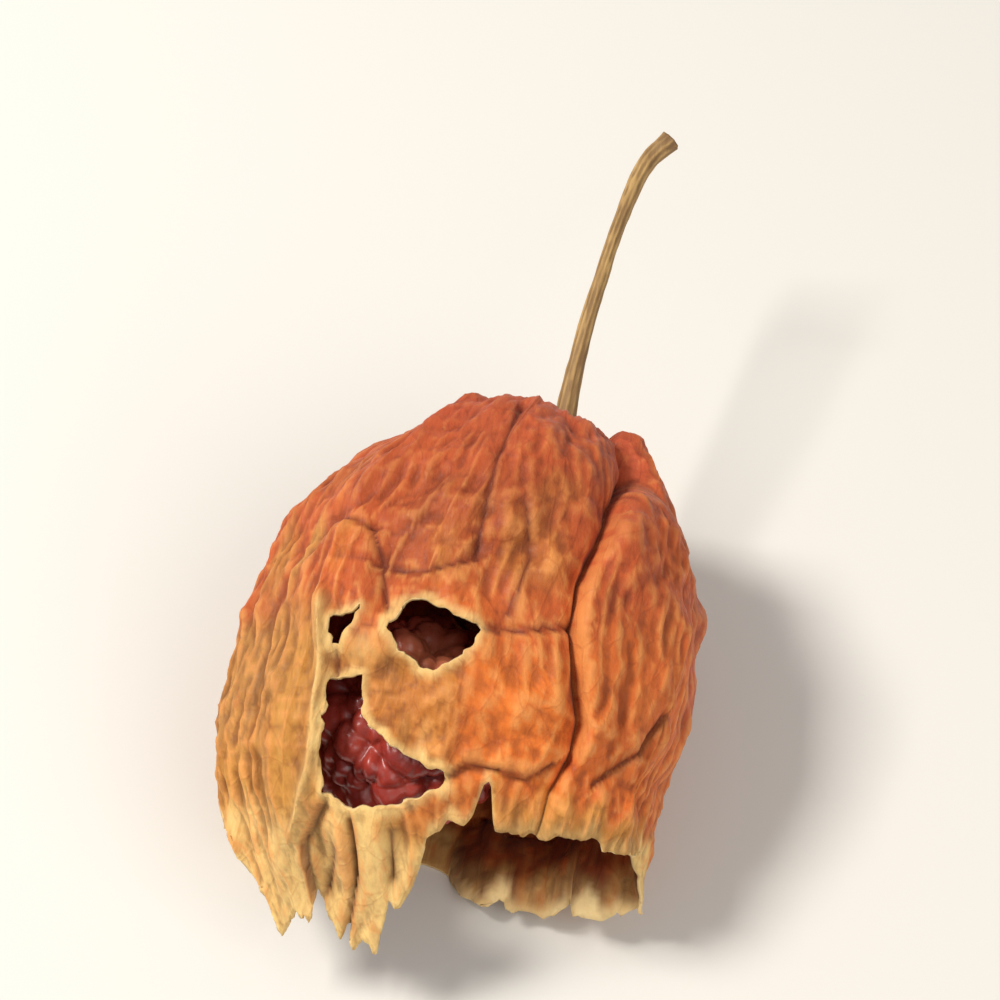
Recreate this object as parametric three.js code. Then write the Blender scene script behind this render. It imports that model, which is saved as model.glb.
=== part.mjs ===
// A dried physalis fruit as picked: a papery husk with torn holes and an open, ragged mouth, the wrinkled
// berry inside it, and the dry stalk that carries both. Millimetres, +Z up. The fruit lies on the flattened
// belly of its husk, with the stalk towards +Y and the mouth towards -Y, and the origin is on the surface
// that it lies on, under the middle of its bounding box.
//
// Every shape is first placed along the husk's own axis: x to the right, w from the stalk end to the mouth,
// and h up, away from the surface. place() then lays that axis down, with the mouth a little lower.
import * as THREE from "three";
import { ParametricGeometry } from "three/addons/geometries/ParametricGeometry.js";
import { mergeVertices } from "three/addons/utils/BufferGeometryUtils.js";

const DEG = Math.PI / 180;

// How the fruit lies: how far the mouth end dips, and where the husk's axis starts.
const LIE = { dip: 10 * DEG, x: -0.16, y: 6.63, z: 13.15 };

// The husk's rings from the stalk hole to past the mouth: half width, place along the axis, height above the
// axis at the top, depth below it at the belly, and how far the middle sits to the right.
const RINGS = [
  [1.35, 9.0, 1.35, 1.35, 3.9],
  [1.8, 6.0, 1.8, 1.8, 3.9],
  [2.9, 3.0, 2.7, 2.8, 3.7],
  [4.8, 1.1, 4.5, 4.7, 3.3],
  [7.0, 1.7, 6.3, 6.8, 2.8],
  [9.3, 4.1, 7.9, 8.6, 2.2],
  [11.9, 7.6, 9.2, 10.1, 1.5],
  [14.0, 11.8, 9.8, 10.9, 0.7],
  [14.9, 16.3, 9.4, 11.2, 0.1],
  [14.9, 21.0, 8.6, 10.8, -0.2],
  [14.5, 25.2, 7.5, 9.4, -0.4],
  [13.8, 28.9, 5.9, 7.0, -0.3],
  [12.5, 32.3, 3.6, 4.6, -0.2],
  [10.8, 35.5, 0.8, 2.6, -0.2],
  [9.0, 38.6, -2.2, 1.2, -0.3],
];
const CREST_RING = 3; // the ring where the husk folds over into the hollow round the stalk
const PAPER = 0.7; // the husk's wall

// The ten ribs: degrees round the axis from straight up towards +X, how far each stands out, how far the panel
// after it sags, and the mesh columns on that panel. The one at CREASE_RIB follows the deep crease instead.
const RIBS = [
  [-180, 0.3, 0.3, 6],
  [-146, 0.9, 0.5, 6],
  [-108, 1.1, 0.4, 6],
  [-72, 0.4, 0.3, 6],
  [-38, 0.9, 0.2, 7],
  [-6, 0.2, 0.1, 7],
  [28, 0, 0.2, 6],
  [66, 0.3, 0.5, 6],
  [106, 1.1, 0.5, 6],
  [144, 0.9, 0.3, 6],
];
const CREASE_RIB = 6;
const RIB_WIDTH = 2.2; // how far from its crest a rib fades
const RIB_SWAY = { degrees: 3, perRing: 0.6, perRib: 2.3 }; // how a rib wanders
const RIBS_BEGIN = 4.5; // the ring by which the ribs and dents have their full height
const RIBS_END = { ring: 11, over: 3, left: 0.5 }; // where they sink again at the mouth, and what is left

// Where the paper ends at the mouth: degrees round the axis, and place along it. The long strips hang over
// the left half of the mouth, and a bay parts them from the shorter lip on the right.
const MOUTH = [
  [-180, 31.6],
  [-160, 32.4],
  [-146, 31.0],
  [-125, 32.8],
  [-108, 32.4],
  [-92, 34.0],
  [-76, 36.2],
  [-62, 38.2],
  [-48, 36.0],
  [-38, 36.8],
  [-27, 38.2],
  [-18, 36.9],
  [-11, 37.8],
  [-4, 35.2],
  [2, 33.4],
  [8, 31.4],
  [13, 29.3],
  [17, 28.4],
  [21, 30.0],
  [30, 30.6],
  [45, 29.6],
  [60, 30.3],
  [74, 29.4],
  [90, 29.0],
  [108, 31.2],
  [125, 32.2],
  [146, 31.0],
  [165, 32.6],
  [180, 31.6],
];
const ROWS = 30; // rows of the mesh from the stalk hole to the mouth
const EVEN_RING = 12; // the ring that the rows would end at if the mouth were cut straight
const EVEN_SHARE = 0.5; // the share of the rows that the ragged mouth leaves even

// The tears in the upper wall, as outlines seen from above: x and place along the axis.
const TEARS = [
  [[-4.5, 19.9], [-3.6, 18.2], [-1.5, 17.5], [2.0, 19.0], [1.2, 21.1], [-1.1, 22.6], [-3.5, 21.0]],
  [
    [-7.4, 23.2], [-5.4, 22.9], [-5.0, 25.3], [-3.4, 26.5], [0.0, 27.6], [1.9, 28.1], [-1.2, 30.1],
    [-4.2, 30.8], [-6.4, 29.8], [-7.2, 27.9],
  ],
];
const TEAR_SIDE = 80; // degrees from straight up within which the paper is torn
const TEAR_CURL = 0.55; // how far torn paper stands up at its edge
const CURL_WIDTH = 1.1;
const FAR = 99; // stands for a place with no tear near it

// The deep crease down the upper wall, where the right panel folds over the middle one: x and place along the
// axis, with the depth and width of the crease there.
const CREASE = [
  [10.0, 4.1, 2.6, 1.5],
  [9.1, 7.8, 2.2, 1.2],
  [8.4, 11.6, 1.7, 0.9],
  [7.5, 14.8, 1.4, 0.7],
  [7.4, 17.5, 1.3, 0.6],
  [8.1, 20.6, 1.3, 0.6],
  [8.8, 23.2, 1.2, 0.6],
  [8.6, 25.5, 1.0, 0.6],
  [7.6, 27.8, 0.7, 0.7],
  [7.0, 31.0, 0.3, 0.9],
];
// How far the right panel's edge stands over the crease, how soon that fades to its right, and the stretch of
// the axis over which it begins.
const CREASE_RISE = { height: 1.1, fade: 5, from: 3, over: 8 };

// Dents and creases all over the paper: cells round the husk, cell length, depth, and a seed for each size.
const CRUMPLES = [
  [13, 6.4, 0.55, 3],
  [31, 2.9, 0.2, 7],
];
const RING_LENGTH = 4.2; // what one ring counts for along the husk

const BERRY = { x: -2.7, w: 22.7, h: 0.2, halfWidth: 7.1, halfLength: 8.0, halfHeight: 6.6 };
const BERRY_GAP = 0.4; // kept between the berry and the paper that drapes over it
const DRAPE_ROUNDS = 5; // how often the paper is moved off the berry, and how far for each part that it lacks
const DRAPE_STEP = 1.2;
const BERRY_MESH = { round: 36, tall: 20 };
const WRINKLES = { waves: 7, depth: 0.42, first: 0.52, step: 0.13 };

// The stalk's middle line from the seat under the berry, out through the husk, to its broken end, and its
// half thickness at each point.
const STALK = [
  [-1.2, 14.2, 0.2, 2.0],
  [0.4, 12.8, 0.2, 1.5],
  [2.6, 11.0, 0.1, 1.15],
  [3.9, 9.0, 0, 0.95],
  [3.9, 5.0, 0, 0.9],
  [4.0, 0.5, 0.1, 0.85],
  [4.2, -5.0, 0.6, 0.65],
  [4.8, -11.0, 1.0, 0.55],
  [5.6, -17.0, 0.8, 0.55],
  [6.8, -22.4, 0.4, 0.7],
  [8.2, -24.3, 0.6, 0.85],
];
const STALK_MESH = { sides: 10, steps: 32 };
const STALK_GROOVE = 0.1; // depth of the grooves along the stalk, as a share of its thickness

// Lays a point of the fruit's own axes down on the surface.
function place([x, w, h]) {
  const c = Math.cos(LIE.dip);
  const s = Math.sin(LIE.dip);
  return new THREE.Vector3(x + LIE.x, LIE.y - w * c - h * s, LIE.z - w * s + h * c);
}

const lerp = (a, b, t) => a + (b - a) * t;
const clamp01 = (t) => Math.min(1, Math.max(0, t));
const smooth = (t) => clamp01(t) ** 2 * (3 - 2 * clamp01(t));

// A repeatable number from 0 to 1 for a pair of whole numbers and a seed.
function scatter(i, j, seed) {
  const s = Math.sin(i * 12.9898 + j * 78.233 + seed * 37.719) * 43758.5453;
  return s - Math.floor(s);
}

// Flat facets between random heights on a triangular lattice, from -1 to 1, repeating after `wrap` cells of p.
function facets(p, q, wrap, seed) {
  const a = p - q / Math.sqrt(3);
  const b = (2 * q) / Math.sqrt(3);
  const i = Math.floor(a);
  const j = Math.floor(b);
  const fa = a - i;
  const fb = b - j;
  const at = (m, n) => 2 * scatter(((m % wrap) + wrap) % wrap, n, seed) - 1;
  if (fa + fb < 1) return at(i, j) * (1 - fa - fb) + at(i + 1, j) * fa + at(i, j + 1) * fb;
  return at(i + 1, j + 1) * (fa + fb - 1) + at(i, j + 1) * (1 - fa) + at(i + 1, j) * (1 - fb);
}

// Smooth curves through the ring table, one for each of its columns against the ring number.
function ringValue(column, ring) {
  const last = RINGS.length - 1;
  const i = Math.min(last - 1, Math.max(0, Math.floor(ring)));
  const value = (n) => RINGS[Math.min(last, Math.max(0, n))][column];
  const t = ring - i;
  const v0 = (value(i + 1) - value(i - 1)) / 2;
  const v1 = (value(i + 2) - value(i)) / 2;
  const rise = value(i + 1) - value(i);
  return value(i) + v0 * t + (3 * rise - 2 * v0 - v1) * t * t + (v0 + v1 - 2 * rise) * t * t * t;
}

// The ring number at which the paper reaches a place along the axis, past the crest.
function ringAt(w) {
  let low = CREST_RING;
  let high = RINGS.length - 1;
  for (let n = 0; n < 30; n++) {
    const middle = (low + high) / 2;
    if (ringValue(1, middle) < w) low = middle;
    else high = middle;
  }
  return low;
}

function mouthPlace(degrees) {
  const n = MOUTH.findIndex(([turn]) => turn >= degrees);
  if (n <= 0) return MOUTH[0][1];
  const [before, after] = [MOUTH[n - 1], MOUTH[n]];
  return lerp(before[1], after[1], (degrees - before[0]) / (after[0] - before[0]));
}

// A value from a table of points along the axis, whose second column is the place.
function tableValue(table, column, w) {
  const n = table.findIndex((point) => point[1] >= w);
  if (n === 0) return table[0][column];
  if (n < 0) return table[table.length - 1][column];
  const [before, after] = [table[n - 1], table[n]];
  return lerp(before[column], after[column], (w - before[1]) / (after[1] - before[1]));
}

// Degrees round the axis at which the deep crease crosses a ring.
function creaseTurn(ring) {
  const start = ringAt(CREASE[0][1]);
  const at = Math.max(ring, start);
  const x = tableValue(CREASE, 0, ringValue(1, at));
  return Math.asin((x - ringValue(4, at)) / ringValue(0, at)) / DEG;
}

const sway = (rib, ring) => RIB_SWAY.degrees * Math.sin(ring * RIB_SWAY.perRing + rib * RIB_SWAY.perRib);

// A column number, whole at each rib, as degrees round the axis at that ring.
function turnOf(column, ring) {
  const ribs = RIBS.length;
  const k = Math.floor(column) % ribs;
  const crest = (n) =>
    n % ribs === CREASE_RIB
      ? creaseTurn(ring)
      : RIBS[n % ribs][0] + (n === ribs ? 360 : 0) + sway(n % ribs, ring);
  return lerp(crest(k), crest(k + 1), column - Math.floor(column));
}

// The husk without its ribs, folds and dents.
function bareHusk(turn, ring) {
  const s = Math.sin(turn * DEG);
  const c = Math.cos(turn * DEG);
  return [
    ringValue(4, ring) + ringValue(0, ring) * s,
    ringValue(1, ring),
    c * ringValue(c > 0 ? 2 : 3, ring),
  ];
}

// The direction that faces out of the bare husk.
function outward(turn, ring) {
  const step = 0.02;
  const low = Math.max(0, ring - step);
  const along = new THREE.Vector3(...bareHusk(turn, low + 2 * step)).sub(new THREE.Vector3(...bareHusk(turn, low)));
  const round = new THREE.Vector3(...bareHusk(turn + 1, ring)).sub(new THREE.Vector3(...bareHusk(turn - 1, ring)));
  return along.cross(round).normalize().negate();
}

// The distance from a point to a line of points.
function fromLine(x, w, line) {
  let nearest = Infinity;
  for (let n = 1; n < line.length; n++) {
    const [ax, aw] = line[n - 1];
    const [bx, bw] = line[n];
    const t = clamp01(((x - ax) * (bx - ax) + (w - aw) * (bw - aw)) / ((bx - ax) ** 2 + (bw - aw) ** 2));
    nearest = Math.min(nearest, Math.hypot(x - lerp(ax, bx, t), w - lerp(aw, bw, t)));
  }
  return nearest;
}

// The distance from a point to a closed outline, above 0 outside it.
function outsideOutline(x, w, outline) {
  const closed = [...outline, outline[0]];
  let inside = false;
  for (let n = 1; n < closed.length; n++) {
    const [ax, aw] = closed[n - 1];
    const [bx, bw] = closed[n];
    if (aw > w !== bw > w && x < ax + ((w - aw) / (bw - aw)) * (bx - ax)) inside = !inside;
  }
  return fromLine(x, w, closed) * (inside ? -1 : 1);
}

// How far a point is from the tears, which lie on the upper wall alone.
function fromTears(turn, ring) {
  if (Math.abs(turn) > TEAR_SIDE || ring < CREST_RING) return FAR;
  const [x, w] = bareHusk(turn, ring);
  return Math.min(...TEARS.map((outline) => outsideOutline(x, w, outline)));
}

// How far the ribs stand out and the panels between them sag, and the deep crease.
function ribLift(column, ring) {
  const k = Math.floor(column) % RIBS.length;
  const next = (k + 1) % RIBS.length;
  const part = column - Math.floor(column);
  const gap = turnOf(k + 0.999, ring) - turnOf(k, ring);
  const arc = gap * DEG * ringValue(0, ring);
  let lift =
    RIBS[k][1] * Math.exp((-part * arc) / RIB_WIDTH) +
    RIBS[next][1] * Math.exp((-(1 - part) * arc) / RIB_WIDTH) -
    RIBS[k][2] * Math.sin(Math.PI * part) ** 2;
  if (k === CREASE_RIB) lift += creaseLift(part * arc, ring);
  if (next === CREASE_RIB) lift += creaseLift((part - 1) * arc, ring);
  return lift;
}

function crumple(turn, ring) {
  const along = ringValue(1, ring);
  const bend = 0.35 * Math.sin(along * 0.45 + 1.3) + 0.25 * Math.sin(3 * turn * DEG + 0.6);
  return CRUMPLES.reduce(
    (sum, [cells, length, depth, seed]) =>
      sum + depth * facets((turn / 360) * cells + bend, (ring * RING_LENGTH) / length + bend, cells, seed),
    0,
  );
}

// The deep crease at a distance to its right: its left side slopes in, and its right side stands up over it.
function creaseLift(distance, ring) {
  const w = ringValue(1, ring);
  const depth = tableValue(CREASE, 2, w);
  const width = tableValue(CREASE, 3, w);
  if (distance < 0) return -depth * Math.exp(distance / width);
  const begun = smooth((w - CREASE_RISE.from) / CREASE_RISE.over);
  const rise = CREASE_RISE.height * smooth(depth) * begun * Math.exp(-distance / CREASE_RISE.fade);
  return rise - (depth + rise) * Math.exp(-distance / (0.5 * width));
}

// A point of the paper, outer face or inner, on the fruit's own axes.
function huskPoint(column, ring, turn, depth) {
  const begun = smooth(ring / RIBS_BEGIN);
  const kept = 1 - (1 - RIBS_END.left) * smooth((ring - RIBS_END.ring) / RIBS_END.over);
  let lift = begun * (ribLift(column, ring) * kept + crumple(turn, ring));
  lift += TEAR_CURL * Math.exp(-Math.abs(fromTears(turn, ring)) / CURL_WIDTH);
  const out = outward(turn, ring);
  const base = new THREE.Vector3(...bareHusk(turn, ring));
  const room = PAPER + BERRY_GAP;
  for (let n = 0; n < DRAPE_ROUNDS; n++) {
    const p = base.clone().addScaledVector(out, lift);
    const reach = Math.hypot(
      (p.x - BERRY.x) / (BERRY.halfWidth + room),
      (p.y - BERRY.w) / (BERRY.halfLength + room),
      (p.z - BERRY.h) / (BERRY.halfHeight + room),
    );
    if (reach < 1) lift += (1 - reach) * BERRY.halfHeight * DRAPE_STEP;
  }
  return base.addScaledVector(out, lift - depth).toArray();
}

// Moves the mesh points next to a line on the paper onto it, so that the line is followed by mesh edges.
// grid holds each point's column and ring, and field its distance from the line at those.
function snapTo(grid, columns, rows, field) {
  const value = grid.map(([column, ring]) => field(turnOf(column, ring), ring));
  const moved = new Map();
  const at = (c, r) => r * columns + ((c + columns) % columns);
  const unwrap = (from, to) => to + RIBS.length * Math.round((from - to) / RIBS.length);
  for (let r = 0; r <= rows; r++) {
    for (let c = 0; c < columns; c++) {
      const here = at(c, r);
      const others = [[c + 1, r], [c, r + 1], [c + 1, r + 1]].filter(([, row]) => row <= rows);
      for (const [oc, or] of others) {
        const there = at(oc, or);
        const [a, b] = [value[here], value[there]];
        if (a * b >= 0 || Math.abs(a) > 50 || Math.abs(b) > 50 || Math.abs(a - b) > 6) continue;
        const t = a / (a - b);
        const [near, share] = t < 0.5 ? [here, t] : [there, 1 - t];
        if (grid[near][1] === 0 || (moved.has(near) && moved.get(near).share <= share)) continue;
        const [p, q] = [grid[here], grid[there]];
        moved.set(near, { share, point: [lerp(p[0], unwrap(p[0], q[0]), t), lerp(p[1], q[1], t)] });
      }
    }
  }
  for (const [n, { point }] of moved) {
    grid[n] = [(point[0] + RIBS.length) % RIBS.length, point[1]];
  }
  return new Set(moved.keys());
}

// The husk: one sheet of paper with its tears cut out, thickened inwards and closed along every edge.
function makeHusk() {
  const perRib = RIBS.map(([, , , count]) => count);
  const columns = perRib.reduce((a, b) => a + b, 0);
  const columnStart = perRib.flatMap((count, k) =>
    Array.from({ length: count }, (_, n) => k + (1 - Math.cos((Math.PI * n) / count)) / 2),
  );
  const sheet = new ParametricGeometry((u, v, target) => target.set(u * columns, v, 0), columns, ROWS);
  const cell = sheet.getAttribute("position");
  const grid = [];
  for (let r = 0; r <= ROWS; r++) {
    for (let c = 0; c < columns; c++) {
      const v = cell.getY(r * (columns + 1) + c);
      const column = columnStart[c];
      const edge = ringAt(mouthPlace(turnOf(column, EVEN_RING)));
      const ragged = Math.max(0, (v - EVEN_SHARE) / (1 - EVEN_SHARE));
      grid.push([column, v * EVEN_RING + (edge - EVEN_RING) * ragged]);
    }
  }
  const torn = snapTo(grid, columns, ROWS, fromTears);
  const away = grid.map(([column, ring], n) => (torn.has(n) ? 0 : fromTears(turnOf(column, ring), ring)));

  const faces = [];
  for (let r = 0; r < ROWS; r++) {
    for (let c = 0; c < columns; c++) {
      const a = r * columns + c;
      const b = r * columns + ((c + 1) % columns);
      const d = a + columns;
      const e = b + columns;
      for (const face of [[a, e, b], [a, d, e]]) {
        if (face.reduce((sum, n) => sum + Math.sign(away[n]), 0) > 0) faces.push(face);
      }
    }
  }

  const points = [0, PAPER].flatMap((depth) =>
    grid.flatMap(([column, ring]) => {
      const p = place(huskPoint(column, ring, turnOf(column, ring), depth));
      p.z = Math.max(p.z, depth);
      return p.toArray();
    }),
  );
  return closeSheet(points, faces, grid.length);
}

// Joins the outer face, its copy on the inner side, and a wall along every open edge into one closed body.
function closeSheet(points, faces, inner) {
  const open = new Map();
  for (const face of faces) {
    face.forEach((from, n) => {
      const to = face[(n + 1) % 3];
      if (open.has(`${to},${from}`)) open.delete(`${to},${from}`);
      else open.set(`${from},${to}`, [from, to]);
    });
  }
  const index = [];
  for (const [a, b, c] of faces) index.push(a, b, c, a + inner, c + inner, b + inner);
  for (const [from, to] of open.values()) {
    index.push(to, from, from + inner, to, from + inner, to + inner);
  }
  const geometry = new THREE.BufferGeometry();
  geometry.setAttribute("position", new THREE.Float32BufferAttribute(points, 3));
  geometry.setIndex(index);
  geometry.computeVertexNormals();
  return geometry;
}

// The berry: a ball drawn out along the husk, with a net of wrinkles from crossing waves.
function makeBerry() {
  const { round, tall } = BERRY_MESH;
  const ball = new THREE.SphereGeometry(1, round, tall);
  ball.deleteAttribute("normal");
  ball.deleteAttribute("uv");
  const geometry = mergeVertices(ball, 1e-4);
  const position = geometry.getAttribute("position");
  const p = new THREE.Vector3();
  for (let n = 0; n < position.count; n++) {
    p.fromBufferAttribute(position, n);
    const [x, w, h] = [p.x, p.y, -p.z];
    const skin = 1 - berryWrinkle(x * BERRY.halfWidth, w * BERRY.halfLength, h * BERRY.halfHeight) / BERRY.halfWidth;
    const at = place([
      BERRY.x + x * BERRY.halfWidth * skin,
      BERRY.w + w * BERRY.halfLength * skin,
      BERRY.h + h * BERRY.halfHeight * skin,
    ]);
    position.setXYZ(n, at.x, at.y, at.z);
  }
  geometry.computeVertexNormals();
  return geometry;
}

// How far the skin has sunk, in millimetres: folds along waves whose directions turn by the golden angle.
function berryWrinkle(x, y, z) {
  let sunk = 0;
  for (let n = 0; n < WRINKLES.waves; n++) {
    const height = 1 - (2 * n + 1) / WRINKLES.waves;
    const turn = n * 2.39996;
    const level = Math.sqrt(1 - height * height);
    const bend = 0.9 * Math.sin(0.45 * (y + z) + n) + 0.7 * Math.sin(0.5 * (x - z) + 2 * n);
    const across = x * Math.cos(turn) * level + y * Math.sin(turn) * level + z * height + bend;
    sunk += (1 - Math.abs(Math.sin(across * (WRINKLES.first + WRINKLES.step * n)))) ** 2;
  }
  return sunk * WRINKLES.depth;
}

// The stalk: a grooved bar, then bent along its middle line and given its thickness at each place.
function makeStalk() {
  const line = new THREE.CatmullRomCurve3(STALK.map(([x, w, h]) => place([x, w, h])), false, "centripetal");
  const thickness = new THREE.SplineCurve(STALK.map(([, , , r], n) => new THREE.Vector2(n, r)));
  const outline = new THREE.Shape();
  for (let n = 0; n < STALK_MESH.sides; n++) {
    const turn = (n / STALK_MESH.sides) * 2 * Math.PI;
    const r = n % 2 ? 1 - STALK_GROOVE : 1;
    if (n === 0) outline.moveTo(r, 0);
    else outline.lineTo(r * Math.cos(turn), r * Math.sin(turn));
  }
  outline.closePath();
  const bar = new THREE.ExtrudeGeometry(outline, { depth: 1, steps: STALK_MESH.steps, bevelEnabled: false });
  bar.deleteAttribute("normal");
  bar.deleteAttribute("uv");
  const geometry = mergeVertices(bar, 1e-5);
  const position = geometry.getAttribute("position");
  const side = new THREE.Vector3();
  const up = new THREE.Vector3();
  for (let n = 0; n < position.count; n++) {
    const t = position.getZ(n);
    const middle = line.getPoint(t);
    const ahead = line.getTangent(t);
    side.crossVectors(ahead, new THREE.Vector3(0, 0, 1)).normalize();
    up.crossVectors(ahead, side);
    const r = thickness.getPoint(t).y;
    middle.addScaledVector(side, position.getX(n) * r).addScaledVector(up, position.getY(n) * r);
    position.setXYZ(n, middle.x, middle.y, middle.z);
  }
  geometry.computeVertexNormals();
  return geometry;
}

// The finishes.
const paper = new THREE.MeshStandardMaterial({ color: 0xc9682f, roughness: 0.72, side: THREE.DoubleSide });
const skin = new THREE.MeshStandardMaterial({ color: 0x6b1d22, roughness: 0.38 });
const straw = new THREE.MeshStandardMaterial({ color: 0xb3935c, roughness: 0.8 });

const fruit = new THREE.Group();
function addPiece(name, geometry, material) {
  const piece = new THREE.Mesh(geometry, material);
  piece.name = name;
  fruit.add(piece);
}

addPiece("husk", makeHusk(), paper);
addPiece("berry", makeBerry(), skin);
addPiece("stalk", makeStalk(), straw);

export default fruit;
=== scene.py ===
# Dried physalis fruit as picked: papery husk, wrinkled berry and dry stalk, lying on its belly.
# The shared frame comes first, then one finely worked piece for each of its three nodes.
import math
import bpy
import numpy as np
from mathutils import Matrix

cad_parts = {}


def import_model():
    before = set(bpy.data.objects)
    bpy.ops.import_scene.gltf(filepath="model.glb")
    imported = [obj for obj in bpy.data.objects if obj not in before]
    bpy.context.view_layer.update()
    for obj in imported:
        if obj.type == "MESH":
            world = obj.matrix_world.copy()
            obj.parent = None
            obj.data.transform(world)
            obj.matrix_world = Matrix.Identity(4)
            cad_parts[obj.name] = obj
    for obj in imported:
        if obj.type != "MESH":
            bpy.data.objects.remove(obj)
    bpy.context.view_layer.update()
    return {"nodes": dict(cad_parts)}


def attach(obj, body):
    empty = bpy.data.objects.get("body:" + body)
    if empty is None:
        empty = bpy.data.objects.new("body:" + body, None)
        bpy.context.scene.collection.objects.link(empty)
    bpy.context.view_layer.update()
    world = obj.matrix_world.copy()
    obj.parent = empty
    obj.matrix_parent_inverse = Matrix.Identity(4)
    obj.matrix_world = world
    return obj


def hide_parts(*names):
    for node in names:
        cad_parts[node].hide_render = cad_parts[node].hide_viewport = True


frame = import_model()
print("frame loaded:", sorted(frame["nodes"]))

mm = 0.001

# How the fruit lies: dip of the mouth end, and where the husk's axis starts, in mm.
# Shapes are worked out on the fruit's own axes: x right, w from the stalk end to the mouth, h up.
lie = {"dip": math.radians(10), "x": -0.16, "y": 6.63, "z": 13.15}


def place(x, w, h):
    # turns the fruit's axes down by the dip and moves them to the frame, in metres
    c, s = math.cos(lie["dip"]), math.sin(lie["dip"])
    return np.stack([x + lie["x"], lie["y"] - w * c - h * s, lie["z"] - w * s + h * c], -1) * mm


def smooth(t):
    # 0 below 0, 1 above 1, and an even rise between them
    t = np.clip(t, 0, 1)
    return t * t * (3 - 2 * t)


def after(value, start, reach):
    # 0 up to the start, then a rise to 1 over the reach
    return smooth((value - start) / reach)


def before(value, end, reach):
    # 1 at first, then a fall over the reach to 0 at the end
    return smooth((end - value) / reach)


def mix(a, b, t):
    # a where t is 0, b where it is 1
    return a + (b - a) * t


def rgb(r, g, b):
    # a colour of 0 to 255 as the eye sees it, to the linear numbers that a shader takes
    c = np.array([r, g, b]) / 255
    return np.where(c < 0.04045, c / 12.92, ((c + 0.055) / 1.055) ** 2.4)


def scatter(i, j, seed):
    # repeatable number from 0 to 1 for two whole numbers and a seed
    s = np.sin(i * 12.9898 + j * 78.233 + seed * 37.719) * 43758.5453
    return s - np.floor(s)


def facets(p, q, wrap, seed):
    # flat facets between random heights on a triangular lattice, -1 to 1, repeating after wrap cells of p
    a, b = p - q / math.sqrt(3), 2 * q / math.sqrt(3)
    i, j = np.floor(a), np.floor(b)
    fa, fb = a - i, b - j

    def at(m, n):
        return 2 * scatter(np.mod(m, wrap), n, seed) - 1

    low = at(i, j) * (1 - fa - fb) + at(i + 1, j) * fa + at(i, j + 1) * fb
    high = at(i + 1, j + 1) * (fa + fb - 1) + at(i, j + 1) * (1 - fa) + at(i + 1, j) * (1 - fb)
    return np.where(fa + fb < 1, low, high)


def softNoise(p, q, wrap, seed):
    # smooth random heights on a square lattice, -1 to 1, repeating after wrap cells of p
    i, j = np.floor(p), np.floor(q)
    a, b = smooth(p - i), smooth(q - j)

    def at(m, n):
        return 2 * scatter(np.mod(m, wrap), n, seed) - 1

    return mix(mix(at(i, j), at(i + 1, j), a), mix(at(i, j + 1), at(i + 1, j + 1), a), b)


def cellEdge(p, q, wrap, seed):
    # distance to the border between random cells: second nearest point minus nearest, 0 on the border
    i, j = np.floor(p), np.floor(q)
    first = np.full(p.shape, 9.0)
    second = np.full(p.shape, 9.0)
    for m in (-1, 0, 1):
        for n in (-1, 0, 1):
            cx = i + m + 0.15 + 0.7 * scatter(np.mod(i + m, wrap), j + n, seed)
            cy = j + n + 0.15 + 0.7 * scatter(np.mod(i + m, wrap), j + n, seed + 5)
            d = np.hypot(p - cx, q - cy)
            second = np.minimum(second, np.maximum(first, d))
            first = np.minimum(first, d)
    return second - first


def lineDistance(x, w, line):
    # distance to a line of points, and which side of it: above 0 on its right going along it
    best = np.full(x.shape, 1e9)
    side = np.ones(x.shape)
    for (ax, aw), (bx, bw) in zip(line[:-1], line[1:]):
        squared = (bx - ax) ** 2 + (bw - aw) ** 2
        t = np.clip(((x - ax) * (bx - ax) + (w - aw) * (bw - aw)) / squared, 0, 1)
        d = np.hypot(x - mix(ax, bx, t), w - mix(aw, bw, t))
        nearer = d < best
        best = np.where(nearer, d, best)
        onRight = (bw - aw) * (x - ax) - (bx - ax) * (w - aw) >= 0
        side = np.where(nearer, np.where(onRight, 1, -1), side)
    return best, side


def outlineDistance(x, w, outline):
    # distance to a closed outline, above 0 outside it
    closed = list(outline) + [outline[0]]
    inside = np.zeros(x.shape, bool)
    for (ax, aw), (bx, bw) in zip(closed[:-1], closed[1:]):
        if aw != bw:
            inside ^= ((aw > w) != (bw > w)) & (x < ax + (w - aw) / (bw - aw) * (bx - ax))
    return np.where(inside, -1, 1) * lineDistance(x, w, closed)[0]


def closedFaces(rows, columns):
    # quads between rings of points, and fans at both ends to the two points that come after the rings
    n = np.arange(rows * columns).reshape(rows, columns)
    right = np.roll(n, -1, 1)
    quads = np.stack([n[:-1], n[1:], right[1:], right[:-1]], -1).reshape(-1, 4)
    first = np.stack([np.full(columns, n.size), n[0], right[0]], -1)
    last = np.stack([np.full(columns, n.size + 1), right[-1], n[-1]], -1)
    return quads.tolist() + first.tolist() + last.tolist()


def makeObject(name, points, faces, attributes=None):
    # a mesh from points (n, 3) and faces of 3 or 4 corners; attributes are (n, 4) colours by name
    mesh = bpy.data.meshes.new(name)
    mesh.from_pydata(points.tolist(), [], faces)
    for key, values in (attributes or {}).items():
        layer = mesh.color_attributes.new(key, "FLOAT_COLOR", "POINT")
        layer.data.foreach_set("color", values.astype(np.float32).ravel())
    mesh.polygons.foreach_set("use_smooth", np.ones(len(mesh.polygons), bool))
    mesh.update()
    piece = bpy.data.objects.new(name, mesh)
    bpy.context.scene.collection.objects.link(piece)
    return piece


# The husk

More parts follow.
